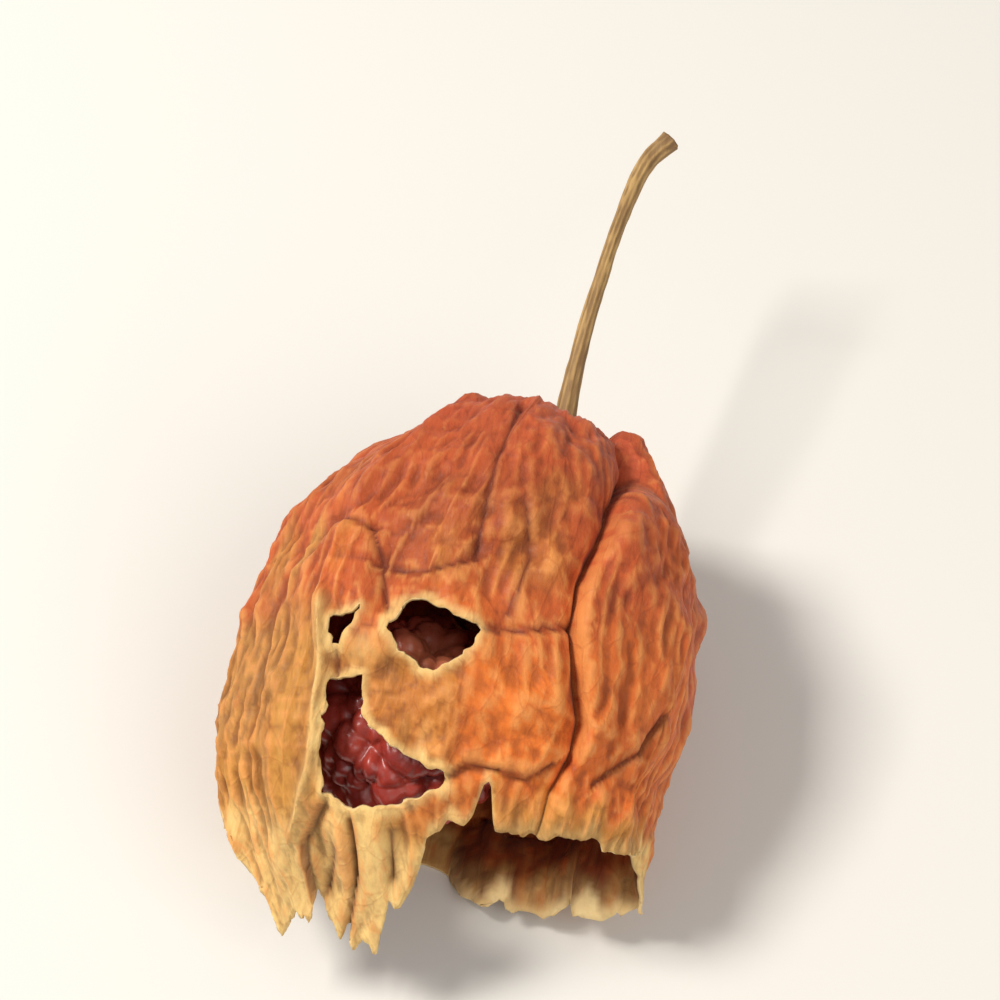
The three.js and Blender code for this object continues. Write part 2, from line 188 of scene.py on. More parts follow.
husk = {
    # rings from the stalk hole to past the mouth: half width, place along the axis, height at the top,
    # depth at the belly, and how far the middle sits to the right
    "rings": np.array([
        [1.35, 9.0, 1.35, 1.35, 3.9],
        [1.8, 6.0, 1.8, 1.8, 3.9],
        [2.9, 3.0, 2.7, 2.8, 3.7],
        [4.8, 1.1, 4.5, 4.7, 3.3],
        [7.0, 1.7, 6.3, 6.8, 2.8],
        [9.3, 4.1, 7.9, 8.6, 2.2],
        [11.9, 7.6, 9.2, 10.1, 1.5],
        [14.0, 11.8, 9.8, 10.9, 0.7],
        [14.9, 16.3, 9.4, 11.2, 0.1],
        [14.9, 21.0, 8.6, 10.8, -0.2],
        [14.5, 25.2, 7.5, 9.4, -0.4],
        [13.8, 28.9, 5.9, 7.0, -0.3],
        [12.5, 32.3, 3.6, 4.6, -0.2],
        [10.8, 35.5, 0.8, 2.6, -0.2],
        [9.0, 38.6, -2.2, 1.2, -0.3],
    ]),
    "crestRing": 3,  # where the husk folds over into the hollow round the stalk
    # ribs: degrees round the axis from straight up, how far each stands out, how far the panel after it sags
    "ribs": np.array([
        [-180, 0.3, 0.3],
        [-146, 0.9, 0.5],
        [-108, 1.1, 0.4],
        [-72, 0.4, 0.3],
        [-38, 0.9, 0.2],
        [-6, 0.2, 0.1],
        [28, 0.0, 0.2],
        [66, 0.3, 0.5],
        [106, 1.1, 0.5],
        [144, 0.9, 0.3],
    ]),
    "creaseRib": 6,
    "ribWidth": 2.2,
    "ribSway": 3.0,
    "columns": [20, 24, 28, 36, 46, 48, 42, 32, 24, 20],  # mesh columns from each rib to the next
    # mesh rows, and which share of them lies before which ring: closer rows past the crest than in the hollow
    "rows": 170,
    "rowShare": (0, 0.19, 1),
    "rowRing": (0, 4.5, 14),
    # points near a torn edge move onto it: rounds, from how near, how far at most in one round
    "snap": {"rounds": 3, "within": 1.0, "reach": 0.2},
    # where the paper ends: degrees round the axis, and place along it
    "mouth": np.array([
        [-180, 28.8], [-172, 28.4], [-160, 29.0], [-146, 30.0], [-125, 31.0], [-108, 30.2], [-92, 30.5],
        [-76, 32.2], [-67, 34.2], [-61, 36.8], [-57, 37.5], [-50, 36.6], [-43, 36.2], [-38, 36.3],
        [-34, 35.1], [-30, 36.8], [-26, 37.4], [-22, 36.5], [-20, 37.6], [-12, 37.4], [-9, 36.7],
        [-7, 35.2], [0, 34.2], [1.4, 33.4], [2.4, 31.7], [8, 31.0], [14, 29.7], [15.6, 28.1], [17.5, 28.4],
        [21, 30.0], [30, 30.5], [45, 29.7], [60, 30.0], [74, 29.4], [90, 29.0], [100, 29.6], [108, 30.4],
        [120, 30.8], [134, 31.2], [137, 29.9], [140, 31.2], [150, 31.5], [156, 31.3], [158, 30.1],
        [162, 31.4], [170, 31.0], [175, 29.4], [180, 28.8],
    ]),
    "furthest": 38.5,  # where the longest strips end
    # teeth along the torn mouth: their length, how many degrees the wide, small and belly ones take, and
    # how deep the belly's are, in lengths
    "teeth": {"length": 0.55, "wide": 4, "small": 1.9, "belly": 14, "bellyDepth": 1.1},
    # the belly's edge opens outwards: from how far back, how far, and the same for the flare at its end
    "lip": {"reach": 3.2, "bend": 0.7, "flareReach": 1.5, "flare": 1.1},
    # tears in the upper wall, seen from above
    "tears": [
        [(-4.1, 19.5), (-3.3, 18.0), (-1.7, 17.5), (1.9, 18.9), (1.1, 20.9), (-0.9, 22.1), (-3.1, 20.9)],
        [(-7.0, 22.8), (-5.1, 22.5), (-4.6, 25.2), (-2.7, 26.5), (-0.8, 27.2), (0.9, 27.7),
         (1.0, 28.4), (-1.0, 29.4), (-2.2, 29.9), (-4.8, 30.2), (-6.3, 29.4), (-6.8, 27.4)],
        [(-7.4, 19.3), (-6.8, 18.8), (-5.8, 18.4), (-5.9, 19.1), (-6.5, 19.8), (-6.7, 20.6),
         (-7.1, 20.9), (-7.4, 20.2)],
    ],
    "tearWaver": 0.2,  # how far a tear's edge strays from its outline
    "tearCurl": 0.55,  # how far the paper stands up round a tear, and how wide that curl is
    "curlWidth": 1.1,
    # deep crease: x and place along the axis, depth and width
    "crease": np.array([
        [10.0, 4.1, 2.6, 1.5],
        [9.1, 7.8, 2.2, 1.2],
        [8.4, 11.6, 1.7, 0.9],
        [7.5, 14.8, 1.4, 0.7],
        [7.4, 17.5, 1.3, 0.6],
        [8.1, 20.6, 1.3, 0.6],
        [8.8, 23.2, 1.2, 0.6],
        [8.6, 25.5, 1.0, 0.6],
        [7.6, 27.8, 0.7, 0.7],
        [7.0, 31.0, 0.3, 0.9],
    ]),
    "creaseRise": 1.1,
    # dents over the whole husk: cells round it, cell length, depth, seed
    "crumples": [
        (13, 6.4, 0.55, 3),
        (31, 2.9, 0.3, 7),
        (57, 2.1, 0.22, 11),
        (98, 1.3, 0.15, 13),
        (150, 0.9, 0.09, 17),
    ],
    # dry puckers along the panels: how many round the husk, length, height, height on the left side
    "puckers": {"around": 90, "length": 5.0, "height": 0.13, "leftHeight": 0.23},
    # pleats on the strips over the mouth: how many wide and narrow ones a full turn would hold, and their
    # depth at the strips' root and tips
    "pleats": {"wide": 13, "narrow": 31, "depth": (0.5, 0.2)},
    "flapHeight": 0.55,  # how far the paper over the berry bulges between the tears and the crease
    # a scrap that stands up between the tears: x, place along the axis, half width, half length, height
    "scrap": {"x": -5.3, "w": 21.0, "halfWidth": 1.4, "halfLength": 1.2, "height": 0.5},
    # small folds: points, depth, width, and how far its right side, going along it, stands over its left
    "folds": [
        ([(1.9, 18.9), (4.6, 18.5), (7.3, 17.6)], 0.5, 0.26, -0.15),
        ([(0.9, 28.0), (2.1, 27.1), (4.0, 27.0), (5.9, 27.2), (7.4, 26.0)], 0.5, 0.26, 0.2),
        ([(13.6, 20.8), (12.6, 23.6), (10.3, 26.5)], 0.55, 0.34, 0.15),
        ([(1.6, 2.0), (0.9, 7.0), (0.6, 14.2)], 0.55, 0.42, 0),
        ([(-10.6, 14.4), (-8.4, 12.4), (-6.3, 12.9)], 0.5, 0.28, -0.15),
        ([(-6.3, 12.9), (-5.2, 15.6), (-4.3, 18.4)], 0.35, 0.3, -0.1),
        ([(-7.1, 20.8), (-6.8, 22.8)], 0.6, 0.22, 0),
        ([(-6.4, 30.2), (-7.5, 32.4), (-6.5, 35.2)], 0.4, 0.26, -0.4),
        ([(-5.4, 32.6), (-5.7, 35.0)], 0.35, 0.26, 0.1),
        ([(-4.4, 31.0), (-3.8, 34.0), (-4.0, 36.8)], 0.4, 0.24, 0.4),
        ([(-1.9, 31.2), (-1.5, 33.6)], 0.3, 0.28, 0.1),
        ([(0.8, 14.4), (-2.6, 15.9), (-5.6, 15.4)], 0.3, 0.3, 0.1),
        ([(3.3, 10.0), (4.2, 13.6), (3.4, 17.6)], 0.3, 0.32, 0.1),
    ],
    "foldReach": 1.0,  # how far from a fold its raised side levels out
    # sharp ridge along the left panel's inner edge
    "ridge": {
        "line": [
            (-8.5, 16.8), (-8.1, 18.9), (-7.8, 21.3), (-7.6, 23.4),
            (-7.4, 25.5), (-7.3, 28.3), (-7.7, 30.6), (-8.4, 33.0),
        ],
        "height": 0.95, "width": 0.36, "fade": 2.0,
    },
    "net": {"around": 40, "length": 3.4, "height": 0.06, "width": 0.1},  # raised net of fine veins
    # for the painted highlight and shade: rounds of evening out that creases and fine creases are measured
    # against
    "creaseRounds": 14,
    "fineCreaseRounds": 2,
    "belly": {"below": 0.3, "dents": 0.05},  # pressed flat below this height, with this share of its dents
    "wall": 0.22,
    "gap": 0.4,
    "gapWall": 0.7,  # the wall that the frame's husk keeps over the berry
}

lastRing = len(husk["rings"]) - 1


def ringValue(column, ring):
    # smooth curve through one column of the ring table
    rows = husk["rings"][:, column]
    i = np.clip(np.floor(ring).astype(int), 0, lastRing - 1)

    def at(n):
        return rows[np.clip(n, 0, lastRing)]

    t = ring - i
    rise = at(i + 1) - at(i)
    v0 = (at(i + 1) - at(i - 1)) / 2
    v1 = (at(i + 2) - at(i)) / 2
    return at(i) + v0 * t + (3 * rise - 2 * v0 - v1) * t**2 + (v0 + v1 - 2 * rise) * t**3


# past the crest the place along the axis only grows, so there it gives the ring
ringSamples = np.linspace(husk["crestRing"] + 1, lastRing, 800)
placeSamples = ringValue(1, ringSamples)


def ringAt(w):
    return np.interp(w, placeSamples, ringSamples)


def creaseTurn(ring):
    # degrees round the axis at which the deep crease crosses a ring
    at = np.maximum(ring, ringAt(husk["crease"][0, 1]))
    x = np.interp(ringValue(1, at), husk["crease"][:, 1], husk["crease"][:, 0])
    return np.degrees(np.arcsin((x - ringValue(4, at)) / ringValue(0, at)))


def ribTurn(n, ring):
    # degrees round the axis of rib n, which sways along its length; the crease's rib follows the crease
    count = len(husk["ribs"])
    turn = husk["ribs"][n % count, 0] + 360 * (n == count)
    swayed = turn + husk["ribSway"] * np.sin(ring * 0.6 + (n % count) * 2.3)
    return np.where(n % count == husk["creaseRib"], creaseTurn(ring), swayed)


def turnOf(column, ring):
    # a column number, whole at each rib, as degrees round the axis
    k = np.floor(column).astype(int) % len(husk["ribs"])
    return mix(ribTurn(k, ring), ribTurn(k + 1, ring), column - np.floor(column))


def bareHusk(turn, ring):
    # flattened ring: half width times the sine, and height or depth times the cosine
    s, c = np.sin(np.radians(turn)), np.cos(np.radians(turn))
    x = ringValue(4, ring) + ringValue(0, ring) * s
    h = c * np.where(c > 0, ringValue(2, ring), ringValue(3, ring))
    return np.stack([x, ringValue(1, ring), h], -1)


def outward(turn, ring):
    # direction straight out of the bare husk: across the slopes along it and around it
    step = 0.02
    low = np.maximum(0, ring - step)
    along = bareHusk(turn, low + 2 * step) - bareHusk(turn, low)
    around = bareHusk(turn + 1, ring) - bareHusk(turn - 1, ring)
    out = -np.cross(along, around)
    return out / np.linalg.norm(out, axis=-1, keepdims=True)


def mouthPlace(turn):
    # where the paper ends: the table, with teeth on it, and deeper breaks along the belly
    teeth = husk["teeth"]
    below = after(np.abs(turn), 100, 15)

    def row(heights, width, level, seed):
        # one random height for every width degrees
        return heights(turn / width, np.full(turn.shape, level), math.ceil(360 / width), seed)

    ragged = row(softNoise, teeth["wide"], 0.0, 21)
    ragged += 0.6 * (1 - below) * row(facets, teeth["small"], 0.3, 23)
    ragged *= 1 - 0.5 * after(turn, 20, 8) * (1 - below)
    ragged += teeth["bellyDepth"] * below * row(facets, teeth["belly"], 0.3, 27)
    edge = np.interp(turn, husk["mouth"][:, 0], husk["mouth"][:, 1])
    return np.minimum(edge + teeth["length"] * ragged, husk["furthest"])


def paperLeft(column, ring):
    # distance inside the paper: above 0 on it, below 0 in the tears and past the ragged mouth
    farAway = 99.0
    turn = turnOf(column, ring)
    bare = bareHusk(turn, ring)
    x, w = bare[..., 0], bare[..., 1]
    field = np.full(x.shape, farAway)
    for outline in husk["tears"]:
        field = np.minimum(field, outlineDistance(x, w, outline))
    waver = husk["tearWaver"] * softNoise(x * 1.9 + 40, w * 1.9, 400, 31)
    field += np.where(field < 3, waver, 0)
    hollow = ring < husk["crestRing"]
    tear = np.where((np.abs(turn) > 80) | hollow, farAway, field)
    past = np.where(hollow, farAway, mouthPlace(turn) - w)
    return np.minimum(tear, past), tear


def creaseLift(distance, ring):
    # its left side slopes in, and its right side stands up over it: both fall off exponentially
    w = ringValue(1, ring)
    depth = np.interp(w, husk["crease"][:, 1], husk["crease"][:, 2]) * mix(0.5, 1, after(ring, 3.5, 1.8))
    width = np.interp(w, husk["crease"][:, 1], husk["crease"][:, 3])
    left = -depth * np.exp(np.minimum(distance, 0) / width)
    d = np.maximum(distance, 0)
    rise = husk["creaseRise"] * smooth(depth) * after(w, 3, 8) * np.exp(-d / 5)
    right = rise - (depth + rise) * np.exp(-d / (0.5 * width))
    return np.where(distance < 0, left, right)


def ribLift(column, ring):
    # ribs fall off exponentially on both sides, and the panel between two of them sags as a squared sine
    ribs = husk["ribs"]
    count = len(ribs)
    k = np.floor(column).astype(int) % count
    following = (k + 1) % count
    part = column - np.floor(column)
    gap = (ribTurn(k + 1, ring) - ribTurn(k, ring)) * 0.999
    arc = np.radians(gap) * ringValue(0, ring)
    lift = (
        ribs[k, 1] * np.exp(-part * arc / husk["ribWidth"])
        + ribs[following, 1] * np.exp(-(1 - part) * arc / husk["ribWidth"])
        - ribs[k, 2] * np.sin(math.pi * part) ** 2
    )
    lift += np.where(k == husk["creaseRib"], creaseLift(part * arc, ring), 0)
    lift += np.where(following == husk["creaseRib"], creaseLift((part - 1) * arc - 1e-9, ring), 0)
    return lift


def crumple(turn, ring):
    # flat facets of several sizes on top of each other
    along = ringValue(1, ring)
    bend = 0.35 * np.sin(along * 0.45 + 1.3) + 0.25 * np.sin(3 * np.radians(turn) + 0.6)
    total = np.zeros(turn.shape)
    for cells, length, depth, seed in husk["crumples"]:
        total += depth * facets(turn / 360 * cells + bend, ring * 4.2 / length + bend, cells, seed)
    return total


def huskGrid():
    # column and ring of each mesh point, and which quads are paper
    columns = []
    for k, count in enumerate(husk["columns"]):
        t = np.arange(count) / count
        columns.append(k + mix(t, (1 - np.cos(math.pi * t)) / 2, 0.5))
    rings = np.interp(np.linspace(0, 1, husk["rows"] + 1), husk["rowShare"], husk["rowRing"])
    column, ring = np.meshgrid(np.concatenate(columns), rings)
    n = np.arange(column.size).reshape(column.shape)
    right = np.roll(n, -1, 1)
    quads = np.stack([n[:-1], n[1:], right[1:], right[:-1]], -1).reshape(-1, 4)
    quads = quads[paperLeft(column, ring)[0].ravel()[quads].mean(1) > 0]
    uses = np.bincount(quads.ravel(), minlength=column.size).reshape(column.shape)
    border = (uses > 0) & (uses < 4) & (ring > 0)

    # points on the border of what is left move onto the torn edge, along the slope of the distance to it
    snap = husk["snap"]
    step = 0.01
    for _ in range(snap["rounds"]):
        field = paperLeft(column, ring)[0]
        past = border & (np.abs(field) < snap["within"])
        c, r, f = column[past], ring[past], field[past]
        slopes, lengths = [], []
        for dc, dr in ((step, 0), (0, step)):
            low, high = (c - dc, r - dr), (c + dc, np.minimum(r + dr, lastRing))
            across = bareHusk(turnOf(*high), high[1]) - bareHusk(turnOf(*low), low[1])
            gap = np.linalg.norm(across, axis=-1)
            slopes.append((paperLeft(*high)[0] - paperLeft(*low)[0]) / gap)
            lengths.append(gap / (2 * step))
        steep = np.maximum(slopes[0] ** 2 + slopes[1] ** 2, 0.3)
        reach = np.clip(-f / np.sqrt(steep), -snap["reach"], snap["reach"]) / np.sqrt(steep)
        column[past] = c + reach * slopes[0] / lengths[0]
        ring[past] = np.clip(r + reach * slopes[1] / lengths[1], 0, lastRing)
    return column, ring, quads, uses.ravel() > 0


def spread(field, rounds):
    # each value moves towards the mean of its four neighbours, round after round
    for _ in range(rounds):
        sides = np.roll(field, 1, 1) + np.roll(field, -1, 1)
        ends = np.concatenate([field[:1], field[:-1]]) + np.concatenate([field[1:], field[-1:]])
        field = (2 * field + sides + ends) / 6
    return field


def huskSurface():
    # the bare husk moved outwards by a lift, in which ribs, dents, curls, pleats, folds and veins add up
    column, ring, quads, used = huskGrid()
    turn = turnOf(column, ring)
    bare = bareHusk(turn, ring)
    x, w = bare[..., 0], bare[..., 1]
    out = outward(turn, ring)
    pastEdge = w - mouthPlace(turn)
    tear = paperLeft(column, ring)[1]
    top = np.abs(turn) < 88
    folded = smooth(ring / (husk["crestRing"] + 1.5))
    mouthFade = 1 - 0.5 * after(ring, 11, 3)

    lift = folded * (ribLift(column, ring) * mouthFade + crumple(turn, ring))
    lift += husk["tearCurl"] * np.exp(-np.abs(tear) / husk["curlWidth"])
    # the flap over the berry bulges, and a scrap of paper beside it stands up
    flap = after(w, 18.6, 1.6) * before(w, 27.7, 1.4) * after(x, -3.2, 3) * before(x, 8.2, 1.6)
    lift += husk["flapHeight"] * flap * top
    standing = husk["scrap"]
    across = (x - standing["x"]) / standing["halfWidth"]
    along = (w - standing["w"]) / standing["halfLength"]
    scrap = np.exp(-(across**2) - along**2) * top
    lift += standing["height"] * scrap

    # pleats on the strips over the mouth, then puckers along the panels
    pleats = husk["pleats"]
    strips = after(w, 27, 6) * after(turn, -100, 20) * before(turn, 18, 12)
    wide = np.abs(np.sin((np.radians(turn) * pleats["wide"] + 0.5 * np.sin(w * 0.3) + 0.9) / 2))
    narrow = 0.5 * np.sin(np.radians(turn) * pleats["narrow"] + 1 + 0.2 * w)
    lift += strips * mix(*pleats["depth"], after(w, 32.5, 4)) * (wide + narrow - 0.6)
    puckers = husk["puckers"]
    around = turn / 360 * puckers["around"] + 0.5 * np.sin(w * 0.5)
    pucker = 1 - 2.4 * np.abs(softNoise(around, w / puckers["length"], puckers["around"], 41))
    leftSide = before(turn, -25, 20) * after(turn, -110, 25)
    lift += folded * mix(puckers["height"], puckers["leftHeight"], leftSide) * pucker * after(w, 2, 6)

    foldMark = np.zeros(x.shape)
    for line, depth, width, step in husk["folds"]:
        d, side = lineDistance(x, w, line)
        here = top * (ring > husk["crestRing"])
        mark = np.exp(-d / width) * here
        lift += step * side * np.exp(-d / husk["foldReach"]) * here - depth * mark
        foldMark = np.maximum(foldMark, mark)
    ridge = husk["ridge"]
    ends = after(w, ridge["line"][0][1], ridge["fade"]) * before(w, ridge["line"][-1][1], ridge["fade"])
    crest = ends * top * np.exp(-lineDistance(x, w, ridge["line"])[0] / ridge["width"])
    lift += ridge["height"] * crest

    # the belly's broken edge opens outwards, unevenly
    lip = husk["lip"]
    under = after(np.abs(turn), 100, 12) * np.where(turn < 0, before(turn, -125, 15), 1)
    uneven = 1 + facets(turn / 360 * 20, np.full(turn.shape, 0.4), 20, 33)
    lift += under * after(pastEdge, -lip["reach"], lip["reach"]) * lip["bend"] * uneven
    lift += lip["flare"] * under * np.clip(1 + pastEdge / lip["flareReach"], 0, 1) ** 1.5

    inner = smooth(np.minimum(-pastEdge, np.abs(tear)) / 0.8)
    crease = (lift - spread(lift, husk["creaseRounds"])) * inner
    fineCrease = (lift - spread(lift, husk["fineCreaseRounds"])) * inner
    net = husk["net"]
    cell = cellEdge(turn / 360 * net["around"] + 0.3 * np.sin(w * 0.7), w / net["length"], net["around"], 51)
    lift += folded * net["height"] * np.exp(-((cell / net["width"]) ** 2))

    # over the berry the paper keeps the wall and the gap of the frame's husk: where it lies lower, a few
    # rounds push it out
    room = husk["gapWall"] + husk["gap"]
    centre = np.array([berry["x"], berry["w"], berry["h"]])
    half = np.array([berry["halfWidth"], berry["halfLength"], berry["halfHeight"]]) + room
    for _ in range(5):
        reach = np.linalg.norm((bare + out * lift[..., None] - centre) / half, axis=-1)
        lift += np.maximum(0, 1 - reach) * berry["halfHeight"] * 1.2

    return {
        "points": bare + out * lift[..., None], "quads": quads, "used": used,
        "turn": turn, "ring": ring, "x": x, "w": w, "top": top, "pastEdge": pastEdge, "tear": tear,
        "scrap": scrap, "fold": foldMark, "ridge": crest, "crease": crease, "fineCrease": fineCrease,
    }


huskPaint = {
    "brick": rgb(186, 84, 40),
    "rust": rgb(198, 92, 40),
    "orange": rgb(224, 116, 38),
    "amber": rgb(212, 136, 54),
    "ochre": rgb(196, 122, 48),
    "straw": rgb(200, 142, 64),
    "pale": rgb(236, 198, 126),
    "olive": rgb(146, 98, 40),
    "umber": rgb(148, 70, 30),
    # painted shade for hollows and folds
    "paintedShade": rgb(92, 34, 16),
    "rose": rgb(196, 84, 56),
    # painted highlight for raised creases
    "paintedHighlight": rgb(232, 156, 84),
}


def paintHusk(s):
    # colours laid over each other by place: brick at the stalk end, straw on the left side and the strips
    turn, w, x, pastEdge = s["turn"], s["w"], s["x"], s["pastEdge"]
    blotch = softNoise(turn / 360 * 18, w / 4.5, 18, 61)
    small = softNoise(turn / 360 * 64 + 0.5 * blotch, w / 2.6, 64, 63)
    streak = softNoise(turn / 360 * 90 + 0.3 * small, w / 6, 90, 65)
    colour = np.broadcast_to(huskPaint["brick"], x.shape + (3,)).copy()

    def lay(name, amount):
        nonlocal colour
        colour = mix(colour, huskPaint[name], np.clip(amount, 0, 1)[..., None])

    # the whole husk, from the stalk end
    lay("rust", after(w + 3 * blotch, 7, 9))
    lay("rose", 0.5 * before(w - 3 * blotch, 7, 7))
    lay("rust", 0.9 * after(turn, 40, 15) * after(w, 6, 8))
    lay("rose", 0.6 * after(turn + 8 * blotch, 50, 15) * after(w, 10, 6) * before(w, 27, 5))
    lay("orange", 0.6 * after(w + 4 * blotch, 13, 8) * after(turn, -60, 40))
    lay("amber", 0.35 * after(1.5 * small + 1.05 * blotch, 0.3, 1) * after(w, 6, 8) * before(turn, 30, 20))
    lay("umber", 0.5 * after(w + 2 * blotch, 6, 4) * before(w, 18, 3) * before(np.abs(turn), 32, 15))
    lay("olive", 0.3 * after(1.6 * blotch + 0.96 * small, 0.5, 1))
    # the left side
    left = after(w + 5 * blotch + 3 * streak + 1.5 * small, 13.5, 7) * before(turn - 6 * blotch, -36, 6)
    lay("straw", left * after(turn, -150, 30))
    lay("straw", 0.9 * after(w + 2.5 * blotch, 16, 4) * before(turn - 8 * small, -17, 10) * s["top"])
    lay("pale", 0.4 * left * after(1.6 * streak, 0.2, 1) * after(turn, -130, 30))
    lay("ochre", 0.5 * left * before(w, 31, 3) * before(turn, -39, 4))
    lay("olive", left * mix(0.36, 0.85, after(-1.6 * streak, 0.1, 1)) * before(turn, -41, 5))
    # the flap over the berry: orange by the crease, yellow where it meets the long tear
    flap = after(w, 19.5, 2) * before(w, 29.5, 1.5) * s["top"]
    lay("orange", 0.9 * flap * after(x, -0.5, 3) * before(x, 8.6, 1.5))
    flap = flap * after(x, -8.6, 1)
    lay("ochre", 0.95 * flap * before(x - 0.8 * blotch, 1.9, 1.6))
    lay("pale", 0.3 * flap * after(small, 0.1, 0.5) * before(x, 0.5, 2))
    lay("olive", 0.45 * flap * before(small, -0.25, 0.4) * before(x, 1, 2))
    # the strips over the mouth
    lay("straw", after(w + 2 * blotch, 27.5, 3) * before(turn, 18, 10) * after(turn, -140, 20))
    lay("orange", 0.5 * after(w, 29.5, 1.5) * before(w - 2 * small, 33.5, 2) * after(x, -8, 1.2) * (x < -4.4))
    lay("pale", 0.9 * after(w + 1.5 * blotch, 29.5, 2.5) * before(turn, 18, 6) * after(turn, -100, 20))
    # the mouth's edge, and the edges of the tears
    lay("straw", 0.8 * after(pastEdge + small, -2.9, 1.6) * (turn > 18))
    lay("pale", 0.75 * after(pastEdge + 0.5 * small, -1.1, 0.8))
    lay("pale", 0.95 * after(pastEdge + small, -2.4, 1.2) * (np.abs(turn) > 95))
    # painted shade: a darker band along the upper lip's edge
    lay("olive", 0.5 * after(pastEdge + 0.8 * small, -1.3, 0.8) * (turn > 20) * (turn < 85))
    lay("pale", 0.8 * before(np.abs(s["tear"]) - 0.3 * small, 0.75, 0.6))
    lay("pale", 0.5 * s["scrap"])
    # painted highlight on raised creases, painted shade in hollows
    outer = after(s["ring"], 3, 2)
    # how strong the painted highlight is: none in the hollow round the stalk, weaker near the stalk end
    dry = outer * mix(0.4, 1, after(w, 9, 9))
    lay("paintedHighlight", 0.3 * after(s["crease"], 0.04, 0.16) * dry)
    lay("paintedShade", 0.26 * before(s["crease"], -0.04, 0.18))
    lay("paintedHighlight", 0.5 * after(s["fineCrease"], 0.007, 0.02) * dry)
    lay("paintedShade", 0.34 * before(s["fineCrease"], -0.006, 0.022) * outer)
    # painted highlight along the ridge's crest
    lay("pale", 0.9 * s["ridge"] ** 1.5)
    # painted shade along the folds
    lay("paintedShade", 0.7 * s["fold"] ** 2)

    value = 1 + 0.1 * small + 0.06 * blotch
    # where the inside of the belly's edge is bleached too
    rim = after(pastEdge + 0.7 * small + 0.4 * streak, -1.1, 0.9) * (turn > 95) * before(turn, 178, 10)
    return np.clip(colour * value[..., None], 0, 1), rim


def makeHusk():
    s = huskSurface()
    colour, rim = paintHusk(s)
    used = s["used"]
    points = s["points"].reshape(-1, 3)[used]
    paint = np.ones((len(points), 4))
    paint[:, :3] = colour.reshape(-1, 3)[used]
    bleached = np.repeat(rim.reshape(-1, 1)[used], 4, 1)
    world = place(points[:, 0], points[:, 1], points[:, 2])
    # pressed flat where the fruit lies
    belly = husk["belly"]
    pressed = np.maximum(world[:, 2] * belly["dents"], 0) + 0.01 * mm
    world[:, 2] = np.where(world[:, 2] < belly["below"] * mm, pressed, world[:, 2])

    number = np.cumsum(used) - 1
    faces = number[s["quads"]].tolist()
    piece = makeObject("husk_paper", world, faces, {"paint": paint, "bleached": bleached})
    solid = piece.modifiers.new("wall", "SOLIDIFY")
    solid.thickness = husk["wall"] * mm
    solid.offset = -1
    solid.use_rim = True
    solid.material_offset = 1
    solid.material_offset_rim = 2
    for material in (paperShader("husk_outside"), paperShader("husk_inside", True), paperEdge()):
        piece.data.materials.append(material)
    return piece


# The berry

berry = {
    # its middle and half sizes on the fruit's own axes
    "x": -2.7, "w": 22.7, "h": 0.2,
    "halfWidth": 7.1, "halfLength": 8.0, "halfHeight": 6.6,
    # wrinkles: how many waves cross each other, their depth, and how close the first and each next one is
    "waves": 7, "depth": 0.42, "first": 0.52, "step": 0.13,
    "fineDepth": 0.06, "fineScale": 2.4,  # the same waves again, smaller and closer
    "drySpot": (1.5, -2.9, 3.2),  # painted light that makes the skin paler under the round tear, where its edges shade it: x, place along the axis, reach
    "round": 240, "tall": 150,
}


def berryWrinkle(x, y, z, scale=1.0, seed=0.0):
    # folds along waves whose directions turn by the golden angle, sharp where each wave crosses zero
    sunk = np.zeros(x.shape)
    for n in range(berry["waves"]):
        height = 1 - (2 * n + 1) / berry["waves"]
        turn = n * 2.39996 + seed
        level = math.sqrt(1 - height * height)
        bend = 0.9 * np.sin(0.45 * (y + z) + n) + 0.7 * np.sin(0.5 * (x - z) + 2 * n)
        across = x * math.cos(turn) * level + y * math.sin(turn) * level + z * height + bend
        sunk += (1 - np.abs(np.sin(across * scale * (berry["first"] + berry["step"] * n)))) ** 2
    return sunk


def makeBerry():
    # ball drawn out along the husk, from pole to pole on the fruit's own axis, sunk by its wrinkles
    tilts = np.linspace(0, math.pi, berry["tall"] + 1)[1:-1]
    spins = np.arange(berry["round"]) / berry["round"] * 2 * math.pi
    tilt, spin = np.meshgrid(tilts, spins, indexing="ij")
    x = np.append(np.sin(tilt) * np.cos(spin), [0, 0]) * berry["halfWidth"]
    w = np.append(np.cos(tilt), [1, -1]) * berry["halfLength"]
    h = np.append(np.sin(tilt) * np.sin(spin), [0, 0]) * berry["halfHeight"]
    sunk = berryWrinkle(x, w, h) * berry["depth"]
    fine = berryWrinkle(x, w, h, berry["fineScale"], 1.1) * berry["fineDepth"]
    skin = 1 - (sunk + fine) / berry["halfWidth"]
    points = place(berry["x"] + x * skin, berry["w"] + w * skin, berry["h"] + h * skin)

    # attribute "skin": red is how deep in a wrinkle, green how much painted light
    depth = np.clip((sunk - sunk.min()) / (sunk.max() - sunk.min()), 0, 1)
    dryX, dryW, dryReach = berry["drySpot"]
    # painted light: a paler patch on the skin's top under the round tear
    dry = np.exp(-((x - dryX) ** 2 + (w - dryW) ** 2) / dryReach**2) * (h > 0)
    values = np.stack([depth, dry, depth, np.ones(len(depth))], -1)
    piece = makeObject("berry_skin", points, closedFaces(*tilt.shape), {"skin": values})
    piece.data.materials.append(berrySkin())
    return piece


# The stalk

